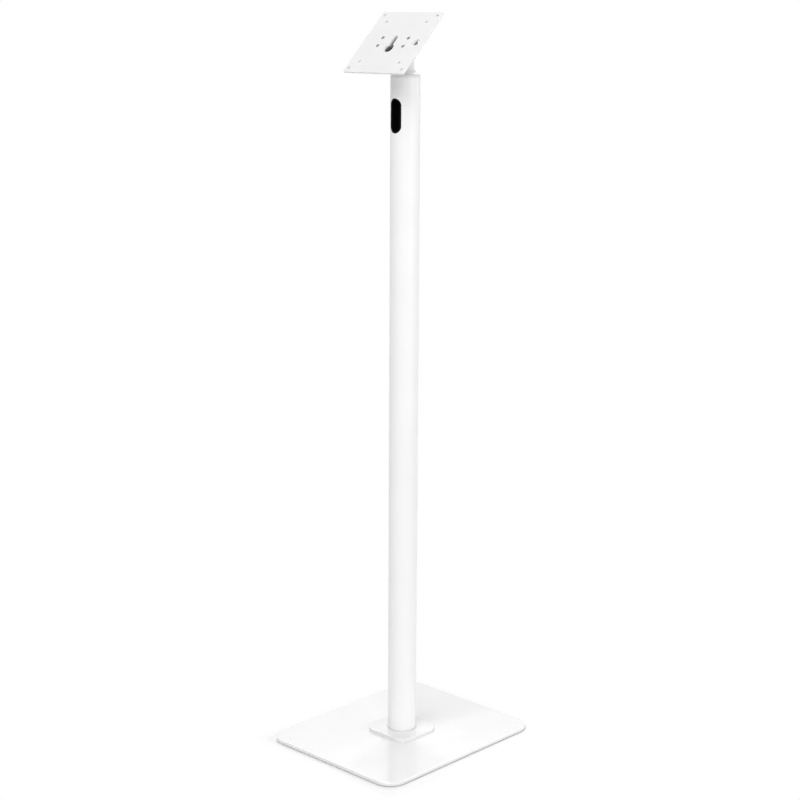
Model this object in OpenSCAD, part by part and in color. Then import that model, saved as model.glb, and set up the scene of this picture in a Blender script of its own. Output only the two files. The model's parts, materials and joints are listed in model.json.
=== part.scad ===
// Adjustable tablet floor stand: a flat base, a round post, and a plate that swivels and tilts on top.
// The origin is on the floor under the middle of the post, +Z is up and the plate faces -Y.

/* [Base] */
// Width of the base plate, side to side
base_w = 253; // [200:1:360]
// Depth of the base plate, front to back
base_d = 310; // [200:1:420]
// Thickness of the base plate
base_t = 5; // [4:0.5:10]
// Radius of the base plate's corners
base_corner_r = 28; // [10:1:40]
// Rounding of the base plate's top edge
base_edge_r = 1.5; // [0.5:0.1:3]
// Diameter of a rubber foot
foot_d = 22; // [12:1:40]
// Height of a rubber foot
foot_h = 1.5; // [1:0.1:5]
// Distance from the base plate's sides to the middle of a foot
foot_inset = 32; // [26:1:60]
// Chamfer round a foot's lower edge
foot_chamfer = 0.4; // [0.1:0.1:0.8]

/* [Flange] */
// Side of the square flange that carries the post
flange_w = 81; // [72:1:120]
// Thickness of the flange
flange_t = 5.5; // [5:0.5:12]
// Radius of the flange's corners
flange_corner_r = 20; // [6:1:26]
// Rounding of the flange's top edge
flange_edge_r = 1.2; // [0.5:0.1:3]
// Depth of the round seat that the tube stands in
seat_depth = 2; // [1:0.5:3]
// Leg of the weld round the tube's foot
weld_leg = 0.6; // [0.4:0.1:3]
// Thread diameter of the screws that hold the flange
flange_screw_d = 6; // [5:1:8]
// Distance from the flange's sides to the middle of a screw
flange_screw_inset = 13.5; // [10:0.5:15]
// Metal left in the flange above a screw's thread
flange_skin = 1.5; // [1:0.1:2.5]

/* [Post] */
// Outside diameter of the tube
post_od = 42; // [38:0.5:52]
// Wall of the tube
post_wall = 2; // [1.5:0.1:3]
// Length of the tube
post_len = 961.5; // [500:0.5:1400]
// Width of a cable slot's black lining
slot_w = 20; // [16:0.5:24]
// Height of a cable slot's black lining
slot_h = 48; // [36:1:80]
// Distance from the swivel bush down to the front slot's lining
slot_below_bush = 4.5; // [2:0.5:100]
// Distance from the flange up to the rear slot's lining
slot_above_flange = 22; // [6:1:100]
// Width of the lining's lip, on the tube and inside it
lip_w = 1.5; // [1:0.1:2.5]
// Thickness of the lining's lip and of its wall
lip_t = 0.5; // [0.4:0.1:1.5]

/* [Swivel] */
// Length of the swivel bush in the tube
bush_len = 24; // [18:1:40]
// Wall of the swivel bush
bush_wall = 3; // [2:0.1:4]
// Thickness of the bush's rim between tube and neck
bush_rim_t = 0.8; // [0.6:0.1:2]
// How far the bush's rim stays inside the tube's outside
bush_rim_inset = 0.2; // [0.1:0.1:1.5]
// Thread diameter of the stop screw
stop_screw_d = 6; // [5:0.5:8]
// Diameter of the stop screw's plain end
stop_pin_d = 4; // [3:0.5:5]
// Depth of the groove that the stop screw runs in
stop_groove_depth = 3; // [2:0.5:5]
// Turn of the head to each side
swivel_half = 90; // [30:5:150]
// Thickness of the rubber drag ring, across and up
drag_ring_t = 2; // [1.5:0.1:3]
// Distance of the drag ring's middle below the tube's top
drag_ring_drop = 3; // [2.5:0.1:4]

/* [Neck] */
// Diameter of the neck's stem
neck_d = 23.4; // [18:0.2:27]
// Rounding of the neck's outer edge above the tube
shoulder_edge_r = 4; // [2:0.5:6]
// Slope at which the rounding turns into the hollow flare, in degrees
shoulder_slope = 65; // [55:1:75]
// Distance of the tilt axis in front of the post's middle
hinge_forward = 8; // [6:0.5:12]
// Height of the tilt axis above the neck's seat
hinge_up = 29.65; // [28:0.05:60]
// Radius of the knuckle that carries the tilt bolt
knuckle_r = 10; // [8:0.5:12]
// How far the knuckle's flat sides stand proud of the round stem
knuckle_proud = 0.3; // [0.1:0.1:1]
// Slope of the stem's top behind the knuckle, in degrees
stem_slope = 45; // [40:1:50]
// Drop from the knuckle's crown to the stem's sloping top
stem_step = 1; // [0.5:0.1:2]

/* [Hinge] */
// Diameter of the tilt bolt
pivot_d = 8; // [6:0.5:8]
// Thickness of a friction washer
friction_washer_t = 1; // [0.5:0.1:2]
// Outside diameter of the washers
washer_d = 17; // [14:0.5:20]
// Thickness of a steel washer
washer_t = 1.2; // [0.8:0.1:2]
// Thickness of a disc spring's metal
spring_t = 0.8; // [0.5:0.1:1.2]
// Dish of a disc spring
spring_dish = 0.5; // [0.3:0.1:1]
// Diameter of the bolt's head
bolt_head_d = 13; // [11:0.5:16]
// Height of the bolt's head
bolt_head_h = 4.5; // [3:0.5:8]
// Width of the lock nut across its flats
nut_flats = 13; // [11:0.5:16]
// Height of the lock nut's six sides
nut_h = 6.5; // [5:0.5:8]
// Height of the lock nut's round collar
nut_collar_h = 1.5; // [1:0.5:3]
// Diameter of the lock nut's round collar
nut_collar_d = 11; // [10:0.5:12.5]
// Length of bolt that shows past the nut
bolt_past_nut = 1.5; // [0:0.5:5]

/* [Brackets] */
// Thickness of the bracket's sheet steel
bracket_t = 3; // [2:0.5:4]
// Inside radius of the bracket's bend
bend_r = 2; // [1:0.5:3]
// Radius of an ear's round end
ear_r = 10; // [9:0.5:12]
// Height of the ears above the tilt axis
ear_top = 25; // [18:0.5:30]
// Radius of an ear's upper corner
ear_top_r = 4; // [1:0.5:6]
// Distance between the plate screws, side to side
plate_screw_pitch_x = 48; // [46:0.5:60]
// Distance between the plate screws, up and down
plate_screw_pitch_z = 15; // [12:0.5:24]
// Distance from a plate screw to the bracket's outer edge
bracket_edge_x = 12; // [6:0.5:14]
// Distance from a plate screw to the bracket's lower edge
bracket_edge_z = 5.5; // [4:0.5:10]
// Thread diameter of the plate screws
plate_screw_d = 3; // [3:0.5:4]
// Length of plate screw that shows behind the bracket
screw_past_bracket = 0.5; // [0:0.5:3]

/* [Head plate] */
// Side of the large square of display holes
holes_large = 100; // [90:1:120]
// Side of the small square of display holes
holes_small = 75; // [70:1:80]
// Diameter of a display hole
display_hole_d = 4.5; // [4:0.1:6]
// Distance from the large square of holes to the plate's sides
plate_margin = 7.5; // [5:0.5:20]
// Thickness of the plate
plate_t = 3; // [2.5:0.5:5]
// Radius of the plate's corners
plate_corner_r = 4; // [1:0.5:6]
// Distance from the tilt axis to the plate's front
plate_reach = 24.6; // [22:0.1:40]
// Lean of the plate as it stands: 0 is upright, 90 lies flat
plate_lean = 45; // [0:1:90]
// Diameter of the keyhole's round end
key_round_d = 15; // [9:0.5:16]
// Distance of the keyhole's round end below the plate's middle
key_drop = 11.5; // [8:0.5:16]
// Width of the keyhole's slot
key_slot_w = 6.5; // [4:0.5:8]
// Height of the slot's end above the plate's middle
key_rise = 11.5; // [6:0.5:20]
// Diameter of the single round hole beside the brackets
side_hole_d = 11; // [6:0.5:14]
// Distance from the bracket to the single round hole
side_hole_gap = 2.5; // [0.5:0.5:4]

/* [Clearances] */
// Room round a screw in its thread, and round a piece in its seat
fit_clear = 0.05; // [0.02:0.01:0.1]
// Room round a turning part
run_clear = 0.05; // [0.02:0.01:0.1]
// Room round a screw in a plain hole
hole_clear = 0.25; // [0.1:0.05:0.5]
// Room at the ends of the stop groove and of blind holes
end_clear = 0.4; // [0.2:0.1:1]

/* [Hidden] */
$fn = 64;
edge_fn = 64;
arc_steps = 24;
edge_steps = 8;
overcut = 1;
hex_fn = 6;
// Key recesses, as shares of the thread's diameter
sunk_key = 2 / 3;
stop_key = 1 / 2;
bolt_key = 5 / 8;
key_depth = 1 / 3;

base_z = foot_h;
flange_z = base_z + base_t;
weld_z = flange_z + flange_t;
post_z = weld_z - seat_depth;
post_top = post_z + post_len;
neck_z = post_top + bush_rim_t + run_clear;
hinge_z = neck_z + hinge_up;

post_r = post_od / 2;
post_bore_r = post_r - post_wall;
bush_r = post_bore_r - fit_clear;
bush_bore_r = bush_r - bush_wall;
spigot_r = bush_bore_r - run_clear;
spigot_len = bush_len + bush_rim_t;
neck_r = neck_d / 2;

front_slot_z = post_top - bush_len - slot_below_bush - slot_h / 2;
rear_slot_z = weld_z + slot_above_flange + slot_h / 2;
cut_w = slot_w - 2 * lip_w;
cut_h = slot_h - 2 * lip_w;
open_w = cut_w - 2 * lip_t;
open_h = cut_h - 2 * lip_t;

stop_z = post_top - bush_len / 2;
stop_floor_r = spigot_r - stop_groove_depth;
stop_end_angle = asin((stop_pin_d / 2 + end_clear) / stop_floor_r);
drag_ring_z = post_top - drag_ring_drop;

knuckle_w = neck_d + 2 * knuckle_proud;
ear_x = knuckle_w / 2 + friction_washer_t + 2 * run_clear;
ear_out_x = ear_x + bracket_t;
washer_out_x = ear_out_x + washer_t;
spring_h = spring_t + spring_dish;
nut_x = washer_out_x + 2 * spring_h;
nut_end_x = nut_x + nut_h + nut_collar_h;

plate_w = holes_large + 2 * plate_margin;
plate_back = plate_reach - plate_t;
bend_out_r = bend_r + bracket_t;
bracket_x = plate_screw_pitch_x / 2 + bracket_edge_x;
bracket_low = plate_screw_pitch_z / 2 + bracket_edge_z;
side_hole_x = bracket_x + side_hole_gap + side_hole_d / 2;

flange_screw_at = flange_w / 2 - flange_screw_inset;
flange_thread = flange_t - flange_skin;

white = "whitesmoke";
black = [0.06, 0.06, 0.06];
steel = "silver";
dark_steel = [0.2, 0.2, 0.21];
nylon = "ivory";

FEET = ["foot_front_left", "foot_front_right", "foot_rear_left", "foot_rear_right"];
FOOT_SIDES = [[-1, -1], [1, -1], [-1, 1], [1, 1]];

// Half outline of a round disc of radius r and height t whose top edge is rounded by e.
function disc_outline(r, t, e) = concat(
    [[0, 0], [r, 0]],
    [for (i = [0:edge_steps]) let (a = 90 * i / edge_steps) [r - e + e * cos(a), t - e + e * sin(a)]],
    [[0, t]]
);

// Plate with round corners of radius r and a top edge rounded by e, standing on z = 0.
module rounded_slab(w, d, t, r, e) {
    hull()
        for (x = [-1, 1], y = [-1, 1])
            translate([x * (w / 2 - r), y * (d / 2 - r), 0])
                rotate_extrude($fn = edge_fn)
                    polygon(disc_outline(r, t, e));
}

// Upright oblong with round ends.
module oblong_2d(w, h) {
    square([w, h - w], center = true);
    for (s = [-1, 1])
        translate([0, s * (h - w) / 2])
            circle(d = w);
}

// Oblong bar that runs from the post's middle out through its front.
module oblong_bar(w, h) {
    rotate([90, 0, 0])
        linear_extrude(post_r + lip_t + overcut)
            oblong_2d(w, h);
}

// Stretch of round pipe, centred on z = 0.
module pipe(inner_r, outer_r, h) {
    difference() {
        cylinder(r = outer_r, h = h, center = true);
        cylinder(r = inner_r, h = h + overcut, center = true);
    }
}

// Flat ring on z = 0.
module ring(inner_r, outer_r, t) {
    translate([0, 0, t / 2])
        pipe(inner_r, outer_r, t);
}

// Six-sided key recess, across flats, from z = 0 up.
module hex_recess(flats, depth) {
    translate([0, 0, -overcut])
        cylinder(h = depth + overcut, d = flats / cos(30), $fn = hex_fn);
}

// Screw along +Z with a 90 degree sunk head whose top is at z = 0.
module sunk_screw(d, len) {
    difference() {
        union() {
            cylinder(h = len, d = d);
            cylinder(h = d / 2, r1 = d, r2 = d / 2);
        }
        hex_recess(d * sunk_key, d * key_depth);
    }
}

// Plain hole for such a screw through a plate of thickness t, with room for its head.
module sunk_hole(d, t) {
    translate([0, 0, -overcut])
        cylinder(h = t + 2 * overcut, d = d + 2 * hole_clear);
    cylinder(h = d / 2, r1 = d + fit_clear, r2 = d / 2 + fit_clear);
}

module at_flange_screws() {
    for (x = [-1, 1], y = [-1, 1])
        translate([x * flange_screw_at, y * flange_screw_at, base_z])
            children();
}

module base_plate() {
    color(white)
        difference() {
            translate([0, 0, base_z])
                rounded_slab(base_w, base_d, base_t, base_corner_r, base_edge_r);
            at_flange_screws()
                sunk_hole(flange_screw_d, base_t);
        }
}

// Foot number i of FEET: a pad with a narrow chamfer round its lower edge.
module rubber_foot(i) {
    color(black)
        translate([
            FOOT_SIDES[i][0] * (base_w / 2 - foot_inset),
            FOOT_SIDES[i][1] * (base_d / 2 - foot_inset),
            0
        ])
            rotate_extrude()
                polygon([
                    [0, 0], [foot_d / 2 - foot_chamfer, 0], [foot_d / 2, foot_chamfer],
                    [foot_d / 2, foot_h], [0, foot_h]
                ]);
}

module flange_screws() {
    color(steel)
        at_flange_screws()
            sunk_screw(flange_screw_d, base_t + flange_thread - end_clear);
}

module post_flange() {
    color(white)
        difference() {
            translate([0, 0, flange_z])
                rounded_slab(flange_w, flange_w, flange_t, flange_corner_r, flange_edge_r);
            translate([0, 0, post_z])
                cylinder(h = seat_depth + overcut, r = post_r + fit_clear);
            at_flange_screws()
                cylinder(h = base_t + flange_thread, d = flange_screw_d + 2 * fit_clear);
        }
}

// Painted fillet of weld in the corner between the tube and the flange.
module foot_weld() {
    inner_r = post_r + fit_clear;
    color(white)
        translate([0, 0, weld_z])
            rotate_extrude()
                polygon(concat(
                    [[inner_r, 0]],
                    [for (i = [0:edge_steps]) let (a = 90 * i / edge_steps)
                        [inner_r + weld_leg * (1 - sin(a)), weld_leg * (1 - cos(a))]]
                ));
}

module post_tube() {
    color(white)
        difference() {
            translate([0, 0, post_z])
                cylinder(h = post_len, r = post_r);
            translate([0, 0, post_z - overcut])
                cylinder(h = post_len + 2 * overcut, r = post_bore_r);
            translate([0, 0, front_slot_z])
                oblong_bar(cut_w, cut_h);
            translate([0, 0, rear_slot_z])
                rotate([0, 0, 180])
                    oblong_bar(cut_w, cut_h);
            stop_screw_hole();
        }
}

// Black lining of a cable slot: a wall through the tube, with a lip outside and one inside.
module slot_grommet() {
    lip_in_r = post_bore_r - lip_t;
    lip_out_r = post_r + lip_t;
    color(black)
        difference() {
            union() {
                intersection() {
                    pipe(post_r + fit_clear, lip_out_r, slot_h);
                    oblong_bar(slot_w, slot_h);
                }
                intersection() {
                    pipe(lip_in_r, post_bore_r - fit_clear, slot_h);
                    oblong_bar(slot_w, slot_h);
                }
                intersection() {
                    pipe(lip_in_r, lip_out_r, slot_h);
                    oblong_bar(cut_w - 2 * fit_clear, cut_h - 2 * fit_clear);
                }
            }
            oblong_bar(open_w, open_h);
        }
}

module front_grommet() {
    translate([0, 0, front_slot_z])
        slot_grommet();
}

module rear_grommet() {
    translate([0, 0, rear_slot_z])
        rotate([0, 0, 180])
            slot_grommet();
}

// Places its children on the stop screw's axis, with +Z pointing out of the post's back.
module at_stop_screw(out) {
    translate([0, out, stop_z])
        rotate([-90, 0, 0])
            children();
}

module stop_screw_hole() {
    at_stop_screw(bush_bore_r - overcut)
        cylinder(h = post_r, d = stop_screw_d + 2 * fit_clear);
}

module swivel_bush() {
    rim_r = post_r - bush_rim_inset;
    color(nylon)
        difference() {
            translate([0, 0, post_top - bush_len])
                rotate_extrude()
                    polygon([
                        [bush_bore_r, 0], [bush_r, 0], [bush_r, bush_len], [rim_r, bush_len],
                        [rim_r, spigot_len], [bush_bore_r, spigot_len]
                    ]);
            stop_screw_hole();
        }
}

module stop_screw() {
    body_from = bush_bore_r + end_clear;
    body_to = post_r - end_clear;
    pin_from = stop_floor_r + end_clear;
    color(dark_steel) {
        at_stop_screw(body_from)
            difference() {
                cylinder(h = body_to - body_from, d = stop_screw_d);
                translate([0, 0, body_to - body_from])
                    mirror([0, 0, 1])
                        hex_recess(stop_screw_d * stop_key, stop_screw_d * key_depth);
            }
        at_stop_screw(pin_from)
            cylinder(h = body_from - pin_from + overcut / 2, d = stop_pin_d);
    }
}

// Half outline of the turned neck: spigot, shoulder, rounded edge, hollow flare and stem.
function neck_outline(stem_top) =
    let (
        c = cos(shoulder_slope),
        s = sin(shoulder_slope),
        edge_x = post_r - shoulder_edge_r,
        meet_x = edge_x + shoulder_edge_r * c,
        meet_z = shoulder_edge_r * s,
        flare_r = (meet_x - neck_r) / (1 - c),
        flare_x = neck_r + flare_r,
        flare_z = meet_z + flare_r * s
    )
    concat(
        [[0, -spigot_len], [spigot_r, -spigot_len], [spigot_r, 0]],
        [for (i = [0:arc_steps]) let (a = shoulder_slope * i / arc_steps)
            [edge_x + shoulder_edge_r * cos(a), shoulder_edge_r * sin(a)]],
        [for (i = [1:arc_steps]) let (a = shoulder_slope * (1 - i / arc_steps))
            [flare_x - flare_r * cos(a), flare_z - flare_r * sin(a)]],
        [[neck_r, stem_top], [0, stem_top]]
    );

// Arc groove round the back of the spigot, in which the stop screw's plain end runs.
module stop_groove() {
    sweep = 2 * (swivel_half + stop_end_angle);
    translate([0, 0, stop_z])
        rotate([0, 0, 90 - sweep / 2])
            rotate_extrude(angle = sweep)
                translate([stop_floor_r, -stop_pin_d / 2 - end_clear])
                    square([stop_groove_depth + overcut, stop_pin_d + 2 * end_clear]);
}

module neck() {
    stem_top = hinge_up + knuckle_r / 2;
    block = 4 * (neck_r + knuckle_r);
    color(white)
        difference() {
            union() {
                difference() {
                    translate([0, 0, neck_z])
                        rotate_extrude()
                            polygon(neck_outline(stem_top));
                    // The stem's top slopes down behind the knuckle.
                    translate([0, -hinge_forward, hinge_z])
                        rotate([-stem_slope, 0, 0])
                            translate([-block / 2, -block / 2, knuckle_r - stem_step])
                                cube(block);
                }
                translate([-knuckle_w / 2, -hinge_forward, hinge_z])
                    rotate([0, 90, 0])
                        cylinder(h = knuckle_w, r = knuckle_r);
            }
            translate([-knuckle_w, -hinge_forward, hinge_z])
                rotate([0, 90, 0])
                    cylinder(h = 2 * knuckle_w, d = pivot_d + 2 * run_clear);
            stop_groove();
            translate([0, 0, drag_ring_z])
                pipe(spigot_r - drag_ring_t + fit_clear, spigot_r + overcut, drag_ring_t + 2 * fit_clear);
        }
}

module drag_ring() {
    color(black)
        translate([0, 0, drag_ring_z])
            pipe(spigot_r - drag_ring_t + 2 * fit_clear, spigot_r + run_clear / 2, drag_ring_t);
}

// Frame of the tilting head: the origin is on the tilt axis, and the plate stands upright and faces -Y.
module in_head() {
    translate([0, -hinge_forward, hinge_z])
        rotate([-plate_lean, 0, 0])
            children();
}

// Places its children on the tilt axis at x, with +Z pointing to the side: 1 is right, -1 is left.
module on_axis(side, x) {
    translate([side * x, 0, 0])
        rotate([0, side * 90, 0])
            children();
}

// Places its children at the four plate screws, on the plate's front, with +Z going into it.
module at_plate_screws(sides) {
    for (x = sides, z = [-1, 1])
        translate([x * plate_screw_pitch_x / 2, -plate_reach, z * plate_screw_pitch_z / 2])
            rotate([-90, 0, 0])
                children();
}

// Outline of an ear: a round end about the tilt axis and a tall upper corner, with a straight edge between them.
module ear_outline(ear_from) {
    corner = [-ear_top_r, ear_top - ear_top_r];
    lean = atan2(corner[1], corner[0]) - acos((ear_r - ear_top_r) / norm(corner));
    out = [cos(lean), sin(lean)];
    polygon([
        [ear_from, -ear_r], [0, -ear_r], ear_r * out,
        corner + ear_top_r * out, [corner[0], ear_top], [ear_from, ear_top]
    ]);
    circle(r = ear_r);
    translate(corner)
        circle(r = ear_top_r);
}

// Bracket of the right side: a foot against the plate, a bend, and an ear back to the tilt axis.
module tilt_bracket() {
    ear_from = bend_out_r - plate_back;
    difference() {
        union() {
            translate([0, 0, -bracket_low])
                linear_extrude(bracket_low + ear_top) {
                    translate([ear_x + bend_out_r, -plate_back])
                        square([bracket_x - ear_x - bend_out_r, bracket_t]);
                    translate([ear_x + bend_out_r, ear_from])
                        difference() {
                            circle(r = bend_out_r);
                            circle(r = bend_r);
                            translate([0, -bend_out_r - overcut])
                                square(2 * bend_out_r + 2 * overcut);
                            translate([-bend_out_r - overcut, 0])
                                square(2 * bend_out_r + 2 * overcut);
                        }
                }
            translate([ear_x, 0, 0])
                rotate([90, 0, 90])
                    linear_extrude(bracket_t)
                        ear_outline(ear_from);
        }
        on_axis(1, ear_x - overcut)
            cylinder(h = bracket_t + 2 * overcut, d = pivot_d + 2 * fit_clear);
        at_plate_screws([1])
            cylinder(h = plate_t + bracket_t + overcut, d = plate_screw_d + 2 * fit_clear);
    }
}

module bracket_right() {
    color(dark_steel)
        in_head()
            tilt_bracket();
}

module bracket_left() {
    color(dark_steel)
        in_head()
            mirror([1, 0, 0])
                tilt_bracket();
}

module friction_washer(side) {
    color(nylon)
        in_head()
            on_axis(side, knuckle_w / 2 + run_clear)
                ring(pivot_d / 2 + hole_clear, washer_d / 2, friction_washer_t);
}

module steel_washer(side) {
    color(steel)
        in_head()
            on_axis(side, ear_out_x)
                ring(pivot_d / 2 + hole_clear, washer_d / 2, washer_t);
}

// Dished spring washer: its inner edge is at z = 0 and its outer edge stands up by the dish.
module disc_spring() {
    inner_r = pivot_d / 2 + hole_clear;
    outer_r = washer_d / 2;
    color(dark_steel)
        rotate_extrude()
            polygon([
                [inner_r, 0], [outer_r, spring_dish], [outer_r, spring_h], [inner_r, spring_t]
            ]);
}

module disc_spring_inner() {
    in_head()
        on_axis(-1, washer_out_x)
            disc_spring();
}

module disc_spring_outer() {
    in_head()
        on_axis(-1, nut_x)
            mirror([0, 0, 1])
                disc_spring();
}

module pivot_bolt() {
    shank_len = washer_out_x + nut_end_x + bolt_past_nut;
    color(steel)
        in_head()
            on_axis(1, washer_out_x)
                difference() {
                    union() {
                        cylinder(h = bolt_head_h, d = bolt_head_d);
                        translate([0, 0, -shank_len])
                            cylinder(h = shank_len + overcut, d = pivot_d);
                    }
                    translate([0, 0, bolt_head_h])
                        mirror([0, 0, 1])
                            hex_recess(pivot_d * bolt_key, pivot_d * key_depth);
                }
}

module lock_nut() {
    color(steel)
        in_head()
            on_axis(-1, nut_x)
                difference() {
                    union() {
                        cylinder(h = nut_h, d = nut_flats / cos(30), $fn = hex_fn);
                        cylinder(h = nut_h + nut_collar_h, d = nut_collar_d);
                    }
                    translate([0, 0, -overcut])
                        cylinder(h = nut_h + nut_collar_h + 2 * overcut, d = pivot_d + 2 * fit_clear);
                }
}

// Square with round corners.
module rounded_square_2d(w, r) {
    square([w, w - 2 * r], center = true);
    square([w - 2 * r, w], center = true);
    for (x = [-1, 1], y = [-1, 1])
        translate([x * (w / 2 - r), y * (w / 2 - r)])
            circle(r = r);
}

// Keyhole: a round end that a head passes through, and a slot above it.
module keyhole_2d() {
    slot_top = key_rise - key_slot_w / 2;
    translate([0, -key_drop])
        circle(d = key_round_d);
    translate([-key_slot_w / 2, -key_drop])
        square([key_slot_w, key_drop + slot_top]);
    translate([0, slot_top])
        circle(d = key_slot_w);
}

module head_plate() {
    color(white)
        in_head()
            difference() {
                translate([0, -plate_back, 0])
                    rotate([90, 0, 0])
                        linear_extrude(plate_t)
                            rounded_square_2d(plate_w, plate_corner_r);
                translate([0, overcut - plate_back, 0])
                    rotate([90, 0, 0])
                        linear_extrude(plate_t + 2 * overcut) {
                            keyhole_2d();
                            translate([side_hole_x, 0])
                                circle(d = side_hole_d);
                            for (side = [holes_large, holes_small], x = [-1, 1], y = [-1, 1])
                                translate([x * side / 2, y * side / 2])
                                    circle(d = display_hole_d);
                        }
                at_plate_screws([-1, 1])
                    sunk_hole(plate_screw_d, plate_t);
            }
}

module plate_screws() {
    screw_len = plate_t + bracket_t + screw_past_bracket;
    color(dark_steel)
        in_head()
            at_plate_screws([-1, 1])
                sunk_screw(plate_screw_d, screw_len);
}

base_plate();
for (i = [0:len(FEET) - 1]) rubber_foot(i);
flange_screws();
post_flange();
foot_weld();
post_tube();
front_grommet();
rear_grommet();
swivel_bush();
stop_screw();
neck();
drag_ring();
bracket_left();
bracket_right();
friction_washer(-1);  // friction_washer_left
friction_washer(1);  // friction_washer_right
pivot_bolt();
steel_washer(1);  // bolt_washer
steel_washer(-1);  // nut_washer
disc_spring_inner();
disc_spring_outer();
lock_nut();
head_plate();
plate_screws();
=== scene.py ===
# %% [markdown]
# # A tablet floor stand, finished in Blender
#
# The stand is a flat steel base, a tall round post and a square plate that swivels and tilts on top. The
# exact solids come from the CAD model. This lesson loads them as a fixed frame and rebuilds the pieces that
# show, with the softened edges and the coat of the real ones. Small pieces that are hardly seen, such as
# the washers and springs of the hinge, keep their CAD shape.

# %% Load the CAD frame
import json
import math

import bmesh
import bpy
from mathutils import Matrix, Vector

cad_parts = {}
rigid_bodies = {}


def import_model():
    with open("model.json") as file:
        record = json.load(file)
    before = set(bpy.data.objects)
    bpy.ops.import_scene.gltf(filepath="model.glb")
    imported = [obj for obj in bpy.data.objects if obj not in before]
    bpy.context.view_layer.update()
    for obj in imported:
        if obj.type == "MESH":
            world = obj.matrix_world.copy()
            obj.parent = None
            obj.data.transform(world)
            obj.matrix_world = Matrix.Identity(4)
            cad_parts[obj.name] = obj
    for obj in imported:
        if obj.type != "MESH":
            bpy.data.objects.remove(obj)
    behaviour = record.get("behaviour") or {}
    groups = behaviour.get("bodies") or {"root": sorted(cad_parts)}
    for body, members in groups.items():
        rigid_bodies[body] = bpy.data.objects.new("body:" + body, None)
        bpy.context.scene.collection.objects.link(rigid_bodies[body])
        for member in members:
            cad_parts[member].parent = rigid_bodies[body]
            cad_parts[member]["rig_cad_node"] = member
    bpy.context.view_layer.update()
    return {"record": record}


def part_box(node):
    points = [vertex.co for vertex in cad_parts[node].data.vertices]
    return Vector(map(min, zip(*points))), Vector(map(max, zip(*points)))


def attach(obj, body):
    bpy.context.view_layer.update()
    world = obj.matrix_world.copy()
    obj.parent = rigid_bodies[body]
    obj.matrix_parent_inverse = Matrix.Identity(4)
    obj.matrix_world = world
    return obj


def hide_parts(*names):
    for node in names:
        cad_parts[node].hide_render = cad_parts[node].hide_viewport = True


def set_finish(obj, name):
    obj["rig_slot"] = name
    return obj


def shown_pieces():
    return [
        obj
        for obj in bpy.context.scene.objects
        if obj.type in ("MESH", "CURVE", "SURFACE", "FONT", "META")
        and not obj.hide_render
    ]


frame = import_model()
mm = 0.001

# %% [markdown]
# ## The camera comes first
#
# The viewpoint was found by fitting a pinhole camera to the holes in the plate, the post's edges and the
# base's edges. A camera's matrix holds its right, up and backward directions as columns, so they are
# written in directly. A long lens from about 2.5 m away keeps the post's sides nearly parallel. The fit
# counted pixels from their middles, so the picture is shifted by half a pixel each way.

# %% Place the camera
CAMERA_AT = Vector((1.6806, -1.7662, 1.0564))
TURN, PITCH, ROLL = (math.radians(angle) for angle in (43.685, 12.567, 0.297))
LENS, SENSOR, FARTHEST = 78.0, 36.0, 50.0
PICTURE_W = 800
HALF_PIXEL = 0.5 / PICTURE_W

ahead = Vector((-math.sin(TURN) * math.cos(PITCH), math.cos(TURN) * math.cos(PITCH), -math.sin(PITCH)))
level = Vector((math.cos(TURN), math.sin(TURN), 0))
above = level.cross(ahead)
camera_right = level * math.cos(ROLL) + above * math.sin(ROLL)
camera_up = above * math.cos(ROLL) - level * math.sin(ROLL)
camera_data = bpy.data.cameras.new("photo_camera")
camera_data.lens = LENS
camera_data.sensor_width = SENSOR
camera_data.sensor_fit = "HORIZONTAL"
camera_data.clip_end = FARTHEST
camera_data.shift_x = -HALF_PIXEL
camera_data.shift_y = HALF_PIXEL
camera = bpy.data.objects.new("photo_camera", camera_data)
camera.matrix_world = Matrix((camera_right, camera_up, -ahead)).transposed().to_4x4()
camera.matrix_world.translation = CAMERA_AT
bpy.context.scene.collection.objects.link(camera)
bpy.context.scene.camera = camera
print("camera at", tuple(round(v, 3) for v in CAMERA_AT), "with a lens of", LENS, "mm")

# %% [markdown]
# ## Picking things
#
# An operator acts on whatever is selected. So every move starts by clearing the selection, and then picks
# exactly what it needs: one piece, or the edges and points of a piece that lie in a certain place.

# %% Picking
NEAR = 1e-6


def clear_selection():
    """Back to object mode with nothing selected."""
    if bpy.context.mode != "OBJECT":
        bpy.ops.object.mode_set(mode="OBJECT")
    bpy.ops.object.select_all(action="DESELECT")


def take(piece):
    """Selects one piece alone and makes it active."""
    clear_selection()
    piece.select_set(True)
    bpy.context.view_layer.objects.active = piece
    return piece


def open_up(piece, kind):
    """Goes to edit mode with nothing selected, ready to pick edges or points."""
    take(piece)
    bpy.ops.object.mode_set(mode="EDIT")
    bpy.ops.mesh.select_mode(type=kind)
    bpy.ops.mesh.select_all(action="DESELECT")
    return bmesh.from_edit_mesh(piece.data)


def pick_edges(piece, wanted):
    """Selects the edges whose two ends are wanted."""
    for edge in open_up(piece, "EDGE").edges:
        edge.select_set(bool(wanted(edge.verts[0].co, edge.verts[1].co)))
    bmesh.update_edit_mesh(piece.data)


def pick_points(piece, wanted):
    """Selects the points that are wanted."""
    for point in open_up(piece, "VERT").verts:
        point.select_set(bool(wanted(point.co)))
    bmesh.update_edit_mesh(piece.data)


clear_selection()
print("nothing is selected:", not bpy.context.selected_objects)

# %% [markdown]
# ## A few hand moves
#
# The rest of the work is a short list of moves as well: name a new primitive, write its place into its
# mesh, push some points along, merge points, point the faces outwards, let one modifier do its work, cut
# a piece with another, soften its edges, copy it. Each is a small function here, so that the cells below
# read like the steps at a bench. A cut can leave points that nearly touch, and a bevel between them would
# have no room, so they are merged before it.

# %% Hand moves
def named(name):
    """Names the primitive that was just added."""
    piece = bpy.context.object
    piece.name = name
    piece.data.name = name
    return piece


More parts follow.
